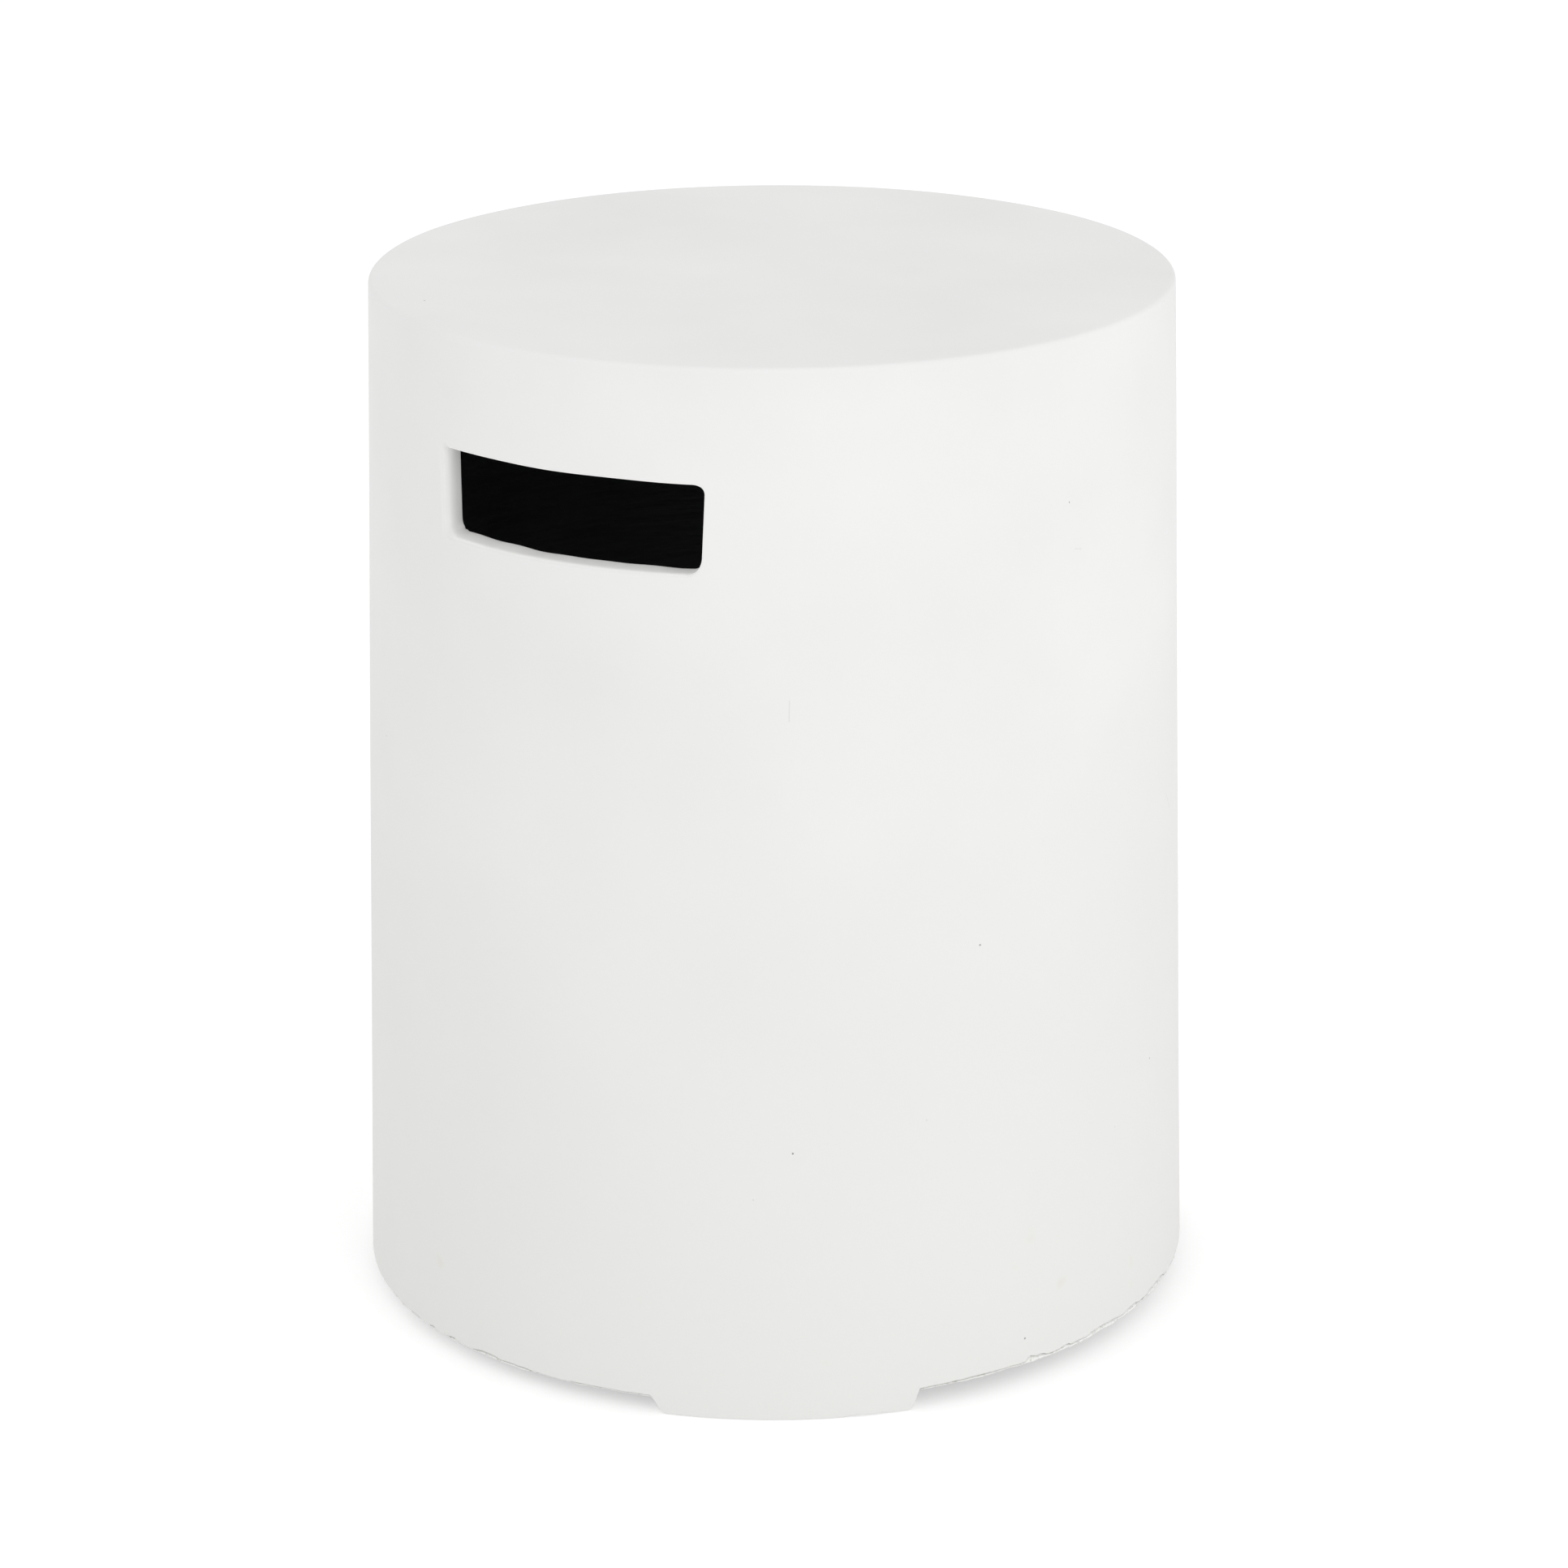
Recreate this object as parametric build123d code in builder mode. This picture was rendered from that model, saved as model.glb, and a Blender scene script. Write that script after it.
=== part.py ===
"""Round gas-bottle cover and side table, cast in white glass-fibre concrete.

The casting is a drum with a closed flat top and an open underside. It is lowered over a gas
bottle and lifted by two finger slots. It stands on three low feet left under the wall.
Frame: +Z up, origin on the drum's axis at the floor, finger slots facing -Y and +Y.
"""

from build123d import *
import os

# Driving dimensions of the finished drum, in millimetres.
HEIGHT = 520.0
TOP_RADIUS = 197.5
BASE_RADIUS = 211.0
RIM_ROUNDING = 3.0

# Feet: arcs of wall that run down past the trimmed lower edge.
FOOT_HEIGHT = 8.5
FOOT_COUNT = 3
FIRST_FOOT_ANGLE = 60.0
FOOT_TOP_WIDTH = 134.0
FOOT_BASE_WIDTH = 121.0
FOOT_CORNER = 3.0

# Finger slots, measured at the outer face.
SLOT_WIDTH = 140.0
SLOT_HEIGHT = 43.0
SLOT_CENTRE_HEIGHT = 443.5
SLOT_CORNER = 5.0
SLOT_EDGE_ROUNDING = 2.0

# Build-up of the casting, from the outer face inwards.
COAT = 3.0
SCRIM = 1.0
WALL_MORTAR_DEPTH = 12.0
TOP_MORTAR_DEPTH = 17.0
SEALER = 1.0
SLOT_LINING = 4.0

# Reinforcement set in the mortar.
SCRIM_EDGE = 12.0
ROD_RADIUS = 2.5
ROD_DEPTH = 8.0
HOOP_HEIGHT = 30.0
LINTEL_COVER = 5.0
LINTEL_ARC = 68.0

SEALER_LOW_EDGE = 15.0
CUTTER_REACH = 20.0

WALL = WALL_MORTAR_DEPTH + SEALER
TOP = TOP_MORTAR_DEPTH + SEALER
MORTAR_JOINT = HEIGHT - TOP_MORTAR_DEPTH
LINTEL_HEIGHT = SLOT_CENTRE_HEIGHT + SLOT_HEIGHT / 2 + SLOT_LINING + LINTEL_COVER


def side_radius(height):
    """Outer radius at a height: upright beside the feet, then a straight taper to the top."""
    rise = max(height - FOOT_HEIGHT, 0.0)
    taper = (BASE_RADIUS - TOP_RADIUS) / (HEIGHT - FOOT_HEIGHT)
    return BASE_RADIUS - taper * rise


def side_points(depth, low, high):
    """Points up the side at a depth behind the outer face, from a low to a high level."""
    levels = [low, FOOT_HEIGHT, high] if low < FOOT_HEIGHT else [low, high]
    return [(side_radius(level) - depth, level) for level in levels]


def half_section(points):
    """Closed half section of a turned shape, drawn in the XZ plane."""
    with BuildSketch(Plane.XZ) as section:
        with BuildLine():
            Polyline(*points, close=True)
        make_face()
    return section.sketch


def plug_section(depth, low, high):
    """Half section of a solid plug set in from the side by a depth, between two levels."""
    return half_section([(0, low), *side_points(depth, low, high), (0, high)])


def wall_section(outer, inner, low, high):
    """Half section of a wall between two depths behind the outer face."""
    return half_section([*side_points(outer, low, high), *reversed(side_points(inner, low, high))])


def slot_outline(margin):
    """Outline of the finger slots, grown by a margin, seen along Y."""
    with BuildSketch(Plane.XZ) as outline:
        with Locations((0, SLOT_CENTRE_HEIGHT)):
            RectangleRounded(SLOT_WIDTH + 2 * margin, SLOT_HEIGHT + 2 * margin, SLOT_CORNER + margin)
    return outline.sketch


def rod_section(angle, height):
    """Round section of a rod at its depth in the wall, on an upright plane at an angle."""
    direction = Vector(1, 0, 0).rotate(Axis.Z, angle)
    upright = Plane(origin=(0, 0, 0), x_dir=direction, z_dir=direction.cross(Vector(0, 0, 1)))
    with BuildSketch(upright) as section:
        with Locations((side_radius(height) - ROD_DEPTH, height)):
            Circle(ROD_RADIUS)
    return section.sketch


# One foot as a block across the wall on the +X side, with slanting ends and eased corners.
with BuildPart() as foot_block:
    with BuildSketch(Plane.YZ.offset(BASE_RADIUS - CUTTER_REACH)) as foot_face:
        with BuildLine():
            Polyline(
                (-FOOT_BASE_WIDTH / 2, 0),
                (FOOT_BASE_WIDTH / 2, 0),
                (FOOT_TOP_WIDTH / 2, FOOT_HEIGHT),
                (-FOOT_TOP_WIDTH / 2, FOOT_HEIGHT),
                close=True,
            )
        make_face()
        fillet(foot_face.vertices().group_by(Axis.Y)[0], FOOT_CORNER)
    extrude(amount=2 * CUTTER_REACH)

# What is trimmed away under the wall, between the feet.
with BuildPart() as foot_gaps:
    with BuildSketch(Plane.XY.offset(-CUTTER_REACH)):
        Circle(BASE_RADIUS + CUTTER_REACH)
        Circle(BASE_RADIUS - CUTTER_REACH, mode=Mode.SUBTRACT)
    extrude(amount=CUTTER_REACH + FOOT_HEIGHT)
    with PolarLocations(0, FOOT_COUNT, FIRST_FOOT_ANGLE):
        add(foot_block.part, mode=Mode.SUBTRACT)

# Base hoop: a closed ring of rod that holds the open lower edge together.
with BuildPart() as base_hoop:
    revolve(rod_section(0, HOOP_HEIGHT), axis=Axis.Z)

# Lintel bars: arcs of rod over the two finger slots, where the drum's weight hangs.
with BuildPart() as lintel_bar_front:
    revolve(rod_section(-90 - LINTEL_ARC / 2, LINTEL_HEIGHT), axis=Axis.Z, revolution_arc=LINTEL_ARC)

with BuildPart() as lintel_bar_back:
    revolve(rod_section(90 - LINTEL_ARC / 2, LINTEL_HEIGHT), axis=Axis.Z, revolution_arc=LINTEL_ARC)

# Wall scrim: one wrap of glass-fibre mesh behind the coat, cut back round the slots.
with BuildPart() as scrim_wall:
    revolve(
        wall_section(COAT, COAT + SCRIM, FOOT_HEIGHT + SCRIM_EDGE, HEIGHT - SCRIM_EDGE),
        axis=Axis.Z,
    )
    extrude(
        slot_outline(SLOT_LINING + SCRIM_EDGE / 2),
        amount=BASE_RADIUS + CUTTER_REACH,
        both=True,
        mode=Mode.SUBTRACT,
    )

# Top scrim: a disc of the same mesh behind the top's coat.
with BuildPart() as scrim_top:
    with BuildSketch(Plane.XY.offset(HEIGHT - COAT - SCRIM)):
        Circle(TOP_RADIUS - SCRIM_EDGE)
    extrude(amount=SCRIM)

# Slot collars: the coat turned in through the wall round each finger slot.
with BuildPart() as slot_collars:
    revolve(wall_section(0, WALL, FOOT_HEIGHT, HEIGHT - TOP), axis=Axis.Z)
    extrude(
        slot_outline(SLOT_LINING),
        amount=BASE_RADIUS + CUTTER_REACH,
        both=True,
        mode=Mode.INTERSECT,
    )

# Face coat: white cement skin over the top, the side, the feet and through the slots.
with BuildPart() as face_coat:
    revolve(plug_section(0, 0, HEIGHT), axis=Axis.Z)
    fillet(face_coat.edges().group_by(Axis.Z)[-1], RIM_ROUNDING)
    revolve(plug_section(COAT, 0, HEIGHT - COAT), axis=Axis.Z, mode=Mode.SUBTRACT)
    add(foot_gaps.part, mode=Mode.SUBTRACT)
    add(slot_collars.part)
    extrude(
        slot_outline(0),
        amount=BASE_RADIUS + CUTTER_REACH,
        both=True,
        mode=Mode.SUBTRACT,
    )
    outer_side = face_coat.faces().filter_by(GeomType.CONE).sort_by(SortBy.AREA)[-1]
    slot_rims = [edge for rim in outer_side.inner_wires() for edge in rim.edges()]
    fillet(slot_rims, SLOT_EDGE_ROUNDING)

# Backing wall: fibre mortar built up behind the coat, down to the undersides of the feet.
with BuildPart() as backing_wall:
    revolve(wall_section(COAT, WALL_MORTAR_DEPTH, 0, MORTAR_JOINT), axis=Axis.Z)
    add(foot_gaps.part, mode=Mode.SUBTRACT)
    extrude(
        slot_outline(SLOT_LINING),
        amount=BASE_RADIUS + CUTTER_REACH,
        both=True,
        mode=Mode.SUBTRACT,
    )
    add(scrim_wall.part, mode=Mode.SUBTRACT)
    add(base_hoop.part, mode=Mode.SUBTRACT)
    add(lintel_bar_front.part, mode=Mode.SUBTRACT)
    add(lintel_bar_back.part, mode=Mode.SUBTRACT)

# Backing top: the slab of fibre mortar laid first, which the wall is built up from.
with BuildPart() as backing_top:
    revolve(plug_section(COAT, MORTAR_JOINT, HEIGHT - COAT), axis=Axis.Z)
    add(scrim_top.part, mode=Mode.SUBTRACT)
    add(scrim_wall.part, mode=Mode.SUBTRACT)

# Inner sealer: dark waterproof coat brushed over the inside of the wall and the top.
with BuildPart() as inner_sealer:
    revolve(plug_section(WALL_MORTAR_DEPTH, SEALER_LOW_EDGE, MORTAR_JOINT), axis=Axis.Z)
    revolve(
        plug_section(WALL, SEALER_LOW_EDGE, MORTAR_JOINT - SEALER),
        axis=Axis.Z,
        mode=Mode.SUBTRACT,
    )
    extrude(
        slot_outline(SLOT_LINING),
        amount=BASE_RADIUS + CUTTER_REACH,
        both=True,
        mode=Mode.SUBTRACT,
    )

pieces = {
    "face_coat": face_coat,
    "scrim_wall": scrim_wall,
    "scrim_top": scrim_top,
    "backing_wall": backing_wall,
    "backing_top": backing_top,
    "inner_sealer": inner_sealer,
    "base_hoop": base_hoop,
    "lintel_bar_front": lintel_bar_front,
    "lintel_bar_back": lintel_bar_back,
}

os.makedirs("parts", exist_ok=True)
for name, piece in pieces.items():
    piece.part.label = name
    export_step(piece.part, f"parts/{name}.step")
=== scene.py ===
"""Looks of the cast-concrete gas-bottle cover: a white face coat over off-white mortar.

The casting is three skins, one inside the other: the white coat, the mortar wall and the dark
sealer, whose near-black colour is painted shade. Each is one closed surface, worked out on a grid
of columns round the drum and rows along its section, with a sleeve of rings through each finger
slot.
Lengths in the shape functions are millimetres; they become metres when a mesh is made.
"""

import math

import bpy
import numpy as np
from mathutils import Euler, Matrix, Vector


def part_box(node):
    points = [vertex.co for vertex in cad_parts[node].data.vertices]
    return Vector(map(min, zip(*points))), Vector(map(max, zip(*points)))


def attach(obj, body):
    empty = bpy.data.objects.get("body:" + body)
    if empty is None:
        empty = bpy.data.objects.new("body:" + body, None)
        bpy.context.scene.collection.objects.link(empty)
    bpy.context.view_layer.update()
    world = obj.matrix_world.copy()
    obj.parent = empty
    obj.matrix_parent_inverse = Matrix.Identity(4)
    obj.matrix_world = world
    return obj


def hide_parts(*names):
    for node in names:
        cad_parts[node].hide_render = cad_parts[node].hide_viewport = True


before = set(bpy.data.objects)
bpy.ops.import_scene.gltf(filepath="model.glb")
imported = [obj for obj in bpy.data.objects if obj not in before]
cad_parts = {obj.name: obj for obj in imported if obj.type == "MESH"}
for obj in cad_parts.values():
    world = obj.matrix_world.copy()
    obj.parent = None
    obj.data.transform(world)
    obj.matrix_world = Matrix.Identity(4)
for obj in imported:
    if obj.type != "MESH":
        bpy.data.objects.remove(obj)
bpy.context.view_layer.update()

MM = 0.001

# The drum, from the frame.
coat_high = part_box("face_coat")[1]
mortar_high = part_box("backing_wall")[1]
sealer_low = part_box("inner_sealer")[0]
HEIGHT = coat_high.z / MM
BASE_RADIUS = coat_high.x / MM
COAT = BASE_RADIUS - mortar_high.x / MM
MORTAR_TOP = mortar_high.z / MM
SEALER_LOW = sealer_low.z / MM

# The drum, as the part was drawn: lengths in millimetres, angles in degrees.
TOP_RADIUS = 197.5
FOOT_HEIGHT = 8.5
MORTAR_DEPTH = 12.0
WALL = 13.0
RIM_ROUNDING = 3.0
FOOT_ANGLES = (60.0, 180.0, 300.0)
FOOT_TOP_HALF = 67.0
SLOT_WIDTH = 140.0
SLOT_HEIGHT = 43.0
SLOT_CENTRE = 443.5
SLOT_FACES = (-90.0, 90.0)
# How far outside a slot's outline the mortar and the sealer stop, behind the coat's lining.
LINING = 4.0
# A gap that keeps the coat's and the mortar's faces apart.
GAP = 0.05

# The slots as cast. Each corner has its own rounding: lower left, lower right, upper right and
# upper left, seen from outside. The top is wider than the middle by the flare, as a share.
SLOT_CORNERS = (5.0, 8.0, 5.5, 3.0)
SLOT_FLARE = 0.010

# The outer face stands in from the straight taper by up to this much.
SWELL = 0.5
# The top's face: how hollow it is, and how far below full height its rim and its centre lie.
TOP_HOLLOW = 0.25
TOP_START = 0.05
TOP_CENTRE = 0.35

# The feet as trimmed: how far each sits to one side, and how far its two ends slope.
FOOT_TRIMS = ((-1.0, 5.0, 6.8), (1.5, 6.0, 4.4), (4.0, 8.5, 5.5))
# The mortar's lower edge was trimmed a little askew: it is highest towards this angle.
TRIM_TILT = math.radians(35.0)
TRIM_LIFT = 0.7
TRIM_SWING = 2.2
# The coat's lower edge ends above the mortar's.
COAT_LIFT = 1.1
COAT_SWING = 0.5
# The side where the lower edge has been knocked most. The chips' height is scaled round the
# drum: by the middle share, plus the swing on that side and less the swing opposite it.
KNOCKED_SIDE = math.radians(-20.0)
KNOCKED_MIDDLE = 0.62
KNOCKED_SWING = 0.38
# Chips: half widths, from and to, of the small and the wide ones, and the share that is small.
SMALL_CHIPS = (1.5, 5.0)
WIDE_CHIPS = (6.0, 17.0)
SMALL_SHARE = 0.6

# The grid: columns round the drum, the patch that each slot's rings start from, the rings on
# the wall round the hole, those over which the painted slot light comes in, and corner points.
COLUMNS = 900
PATCH_HALF_ANGLE = 26.0
PATCH_HALF_HEIGHT = 36.0
PATCH_LEVELS = 24
CLOSING_RINGS = 6
FADING_RINGS = 2
CORNER_POINTS = 13
# The lowest level row of the coat and the mortar; below it, rows follow the lower edge.
LOWEST_LEVEL = 34.0

# The camera and the studio, in metres and radians; the lens and its sensor in millimetres.
CAMERA_TURN = math.radians(30.0)
CAMERA_DISTANCE = 2.3634
CAMERA_HEIGHT = 1.0695
CAMERA_PITCH = 0.3326
CAMERA_YAW = 0.0021
CAMERA_ROLL = -0.0040
CAMERA_LENS = 113.07
SENSOR_WIDTH = 36.0
FLOOR_REACH = 14.0
FLOOR_STEPS = 24
FLOOR_DROP = 0.1 * MM
# Each light: name, turn from the camera in degrees, distance and height, and power in watts.
LIGHTS = (
    ("key", 30.0, 2.9, 1.08, 15.5),
    ("left", -70.0, 2.3, 2.23, 6.4),
    ("right", 80.0, 2.3, 2.23, 5.4),
)
LIGHT_SIZE = 1.8
LIGHT_TARGET = (0, 0, 0.3)

FULL_TURN = 2 * math.pi


# ---------------------------------------------------------------- shape of the drum


def side_radius(height):
    """Outer radius: upright beside the feet, then a straight taper to the top."""
    rise = np.maximum(height - FOOT_HEIGHT, 0.0)
    return BASE_RADIUS - (BASE_RADIUS - TOP_RADIUS) * rise / (HEIGHT - FOOT_HEIGHT)


def wrapped(angle):
    """The same angle, between minus half a turn and half a turn."""
    return (angle + math.pi) % FULL_TURN - math.pi


def ripple(angle, turns, seed):
    """Even, seamless unevenness round the drum, within -1 to 1.

    A sum of sines, one for each whole number of waves in the range, with seeded phases.
    """
    rng = np.random.default_rng(seed)
    waves = np.arange(*turns)
    phases = rng.uniform(0, FULL_TURN, len(waves))
    weights = rng.uniform(0.3, 1.0, len(waves))
    heights = np.sin(np.multiply.outer(angle, waves) + phases) @ weights
    return np.clip(heights / (1.8 * np.sqrt((weights**2).sum() / 2) + 1e-9) / 1.4, -1, 1)


def column_angles():
    """Angles of the columns, crowded at the ends of the feet.

    The density is one plus a bell at each foot end; its running sum is turned inside out.
    """
    fine = np.linspace(0, FULL_TURN, 7201)
    density = np.ones_like(fine)
    for foot in FOOT_ANGLES:
        for end in (-FOOT_TOP_HALF, FOOT_TOP_HALF):
            away = wrapped(fine - math.radians(foot) - end / BASE_RADIUS) * BASE_RADIUS
            density += 2.2 * np.exp(-((away / 9.0) ** 2))
    running = np.concatenate([[0], np.cumsum((density[1:] + density[:-1]) / 2)])
    even = np.arange(COLUMNS) * running[-1] / COLUMNS
    return np.interp(even, running, fine)


def foot_share(angle):
    """How far the lower edge has come down: 0 between the feet, 1 along a foot.

    Each end of a foot is a smooth step, some short and steep, some long and slanting, and
    each foot sits a little to one side, as it was trimmed.
    """
    share = np.zeros_like(angle)
    for foot, (aside, left_run, right_run) in zip(FOOT_ANGLES, FOOT_TRIMS):
        away = wrapped(angle - math.radians(foot)) * BASE_RADIUS - aside
        left = np.clip((away + FOOT_TOP_HALF) / left_run, 0, 1)
        right = np.clip((FOOT_TOP_HALF - away) / right_run, 0, 1)
        step = np.minimum(left, right)
        share = np.maximum(share, step**1.5 * (2.5 - 1.5 * step))
    return share


def chips(angle, count, seed, tallest):
    """Bites out of an edge: each a blunt arch of its own width and height, ragged inside.

    An arch is one less the cube of the distance from its middle, leant to one side. Where bites
    overlap the taller counts, and a fine ripple of a quarter roughens them all.
    """
    rng = np.random.default_rng(seed)
    bite = np.zeros_like(angle)
    for _ in range(count):
        centre = rng.uniform(0, FULL_TURN)
        half = rng.uniform(*(SMALL_CHIPS if rng.random() < SMALL_SHARE else WIDE_CHIPS))
        tall = tallest * rng.uniform(0.35, 1.0)
        skew = rng.uniform(-0.6, 0.6)
        across = np.clip(wrapped(angle - centre) * BASE_RADIUS / half, -1, 1)
        arch = (1 - np.abs(across) ** 3) * (1 + skew * across)
        bite = np.maximum(bite, tall * arch / (1 + abs(skew)))
    return bite * (1 + 0.25 * ripple(angle, (60, 200), seed + 1))


def mortar_edge(angle):
    """Height of the mortar's lower edge: trimmed by hand between the feet, flat under them.

    Between the feet it is a tilted ring, one cosine round the drum, with slow and fine ripples.
    """
    foot = foot_share(angle)
    trimmed = FOOT_HEIGHT + TRIM_LIFT + TRIM_SWING * np.cos(angle - TRIM_TILT)
    trimmed += 0.35 * ripple(angle, (3, 22), 11) + 0.15 * ripple(angle, (40, 160), 12)
    return trimmed * (1 - foot) + foot * 0.12 * (1 + ripple(angle, (20, 90), 13))


def coat_edge(angle):
    """Height of the coat's lower edge: above the mortar's, most where the trim was highest.

    The lift is one cosine round the drum with slow and fine ripples, and chips on top of it.
    Under a foot it is a hair, with small chips.
    """
    foot = foot_share(angle)
    lift = COAT_LIFT + COAT_SWING * np.cos(angle - TRIM_TILT) + 0.3 * ripple(angle, (5, 30), 21)
    lift += 0.10 * ripple(angle, (60, 200), 22)
    knocks = KNOCKED_MIDDLE + KNOCKED_SWING * np.cos(angle - KNOCKED_SIDE)
    lift += chips(angle, 46, 23, 2.4) * knocks
    worn = 0.05 + chips(angle, 30, 24, 0.9)
    return mortar_edge(angle) + lift * (1 - foot) + worn * foot


def swell(angle, height):
    """Slow hand-made unevenness of the outer face, from 0 to 1.

    A sum of four slow sines: three wind round the drum and one runs up it.
    """
    upright = height / HEIGHT * math.pi
    slow = np.sin(2 * angle + 0.4 + upright) + np.sin(5 * angle + 2.1 - 2.3 * upright)
    slow += 0.7 * np.sin(9 * angle + 1.3 + 4.1 * upright) + 0.5 * np.sin(3.7 * upright + 0.9)
    return 0.5 + slow / 6.4


def face_sink(angle, height):
    """How far the coat's outer face stands in from the straight taper: a share of the swell."""
    return SWELL * swell(angle, height)


def flush(angle, height):
    """No unevenness, for faces out of sight."""
    return 0.0


# ---------------------------------------------------------------- finger slots


def slot_outline():
    """Dense closed outline of a slot seen from outside, and its outward directions.

    Four straight sides joined by arcs, counter-clockwise from the middle of the lower left
    corner. The slot is a little wider at its top than at its sill.
    """
    signs = ((-1, -1), (1, -1), (1, 1), (-1, 1))
    points = []
    for number, ((sx, sz), radius) in enumerate(zip(signs, SLOT_CORNERS)):
        turn = np.linspace(0, math.pi / 2, CORNER_POINTS) + math.pi * (1 + number / 2)
        x = sx * (SLOT_WIDTH / 2 - radius) + radius * np.cos(turn)
        z = sz * (SLOT_HEIGHT / 2 - radius) + radius * np.sin(turn)
        points.append(np.stack([x, z], 1))
    loop = np.roll(np.concatenate(points), -(CORNER_POINTS // 2), axis=0)
    loop = np.concatenate([loop, loop[:1]])
    loop[:, 0] *= 1 + SLOT_FLARE * loop[:, 1] / (SLOT_HEIGHT / 2)
    length = np.concatenate([[0], np.cumsum(np.linalg.norm(np.diff(loop, axis=0), axis=1))])
    return loop, length


def points_on_outline(side, share):
    """Points on one side of the slot's outline, and the directions away from the hole.

    A share from 0 to 1 runs from mid-corner to mid-corner; points crowd towards the corners.
    """
    loop, length = slot_outline()
    first = CORNER_POINTS * side
    marks = length[[first, min(first + CORNER_POINTS, len(length) - 1)]]
    crowded = share - 0.6 * np.sin(FULL_TURN * share) / FULL_TURN
    along = marks[0] + (marks[1] - marks[0]) * crowded
    reach = 0.25

    def at(place):
        place = place % length[-1]
        return np.stack([np.interp(place, length, loop[:, k]) for k in (0, 1)], -1)

    forward = at(along + reach) - at(along - reach)
    forward /= np.linalg.norm(forward, axis=1, keepdims=True)
    away = np.stack([forward[:, 1], -forward[:, 0]], -1)
    return at(along), away


class Slot:
    """One finger slot's loop: where its rings start on the grid and where they close in to."""

    def __init__(self, angles, face, outer_rows, inner_rows):
        facing = math.radians(face)
        order = np.argsort(wrapped(angles - facing))
        inside = order[np.abs(wrapped(angles - facing))[order] <= math.radians(PATCH_HALF_ANGLE)]
        self.facing, self.columns = facing, inside
        across, down = len(inside) - 1, PATCH_LEVELS
        over, up = np.arange(across), np.arange(down)
        row = np.concatenate([0 * over + down, down - up, 0 * over, up])
        column = inside[np.concatenate([over, 0 * up + across, across - over, 0 * up])]
        self.outer = (outer_rows[row], column)
        self.inner = (inner_rows[row], column)
        self.frame_angle = wrapped(angles - facing)[column]
        self.frame_height = SLOT_CENTRE + PATCH_HALF_HEIGHT * (1 - 2 * row / down)
        sides = []
        for side, count in enumerate((across, down, across, down)):
            sides.append(points_on_outline(side, np.arange(count) / count))
        self.outline = np.concatenate([points for points, away in sides])
        self.away = np.concatenate([away for points, away in sides])

    def place(self, x, y, z):
        """Points given across, out of and up the slot's own face, turned to where it faces."""
        c, s = math.cos(self.facing), math.sin(self.facing)
        return np.stack([y * c - x * s, y * s + x * c, z], -1)

    def wall_ring(self, share, margin, depth, uneven):
        """A ring on the wall, a share of the way in from the patch's frame to the hole."""
        goal = self.outline + self.away * margin
        height = SLOT_CENTRE + goal[:, 1]
        turn = np.arcsin(goal[:, 0] / (side_radius(height) - depth))
        turn = self.frame_angle * (1 - share) + turn * share
        height = self.frame_height * (1 - share) + height * share
        radius = side_radius(height) - depth - uneven(turn + self.facing, height)
        return self.place(radius * np.sin(turn), radius * np.cos(turn), height)

    def hole_ring(self, margin, low, drop, uneven):
        """A ring in the hole, a drop behind the wall's face at one depth, cut square through."""
        goal = self.outline + self.away * np.reshape(margin, (-1, 1))
        height = SLOT_CENTRE + goal[:, 1]
        turn = np.arcsin(goal[:, 0] / (side_radius(height) - low))
        radius = side_radius(height) - low - uneven(turn + self.facing, height)
        y = np.sqrt(np.maximum(radius**2 - goal[:, 0] ** 2, 1.0))
        return self.place(goal[:, 0], y - drop, height)


# ---------------------------------------------------------------- meshes


def quads(rows):
    """Quads between successive rows of vertex numbers, each row a closed loop."""
    here, after = rows[:-1], rows[1:]
    return np.stack([here, after, np.roll(after, -1, 1), np.roll(here, -1, 1)], -1).reshape(-1, 4)


def make_mesh(name, points, faces):
    """A mesh object from points in millimetres and lists of faces, at the origin."""
    mesh = bpy.data.meshes.new(name)
    mesh.from_pydata(points * MM, [], faces)
    mesh.validate()
    mesh.polygons.foreach_set("use_smooth", np.ones(len(mesh.polygons), bool))
    mesh.update()
    piece = bpy.data.objects.new(name, mesh)
    bpy.context.scene.collection.objects.link(piece)
    return piece


def painted_light_shares(count, sleeves):
    """How much painted slot light each of a number of vertices gets.

    It is 0 on the wall, rises evenly over the first rings in a slot, and stays 1 from there.
    """
    share = np.zeros(count)
    for rings in sleeves:
        inward = (np.arange(len(rings)) - CLOSING_RINGS) / FADING_RINGS
        share[rings] = np.clip(inward, 0, 1)[:, None]
    return share


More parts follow.
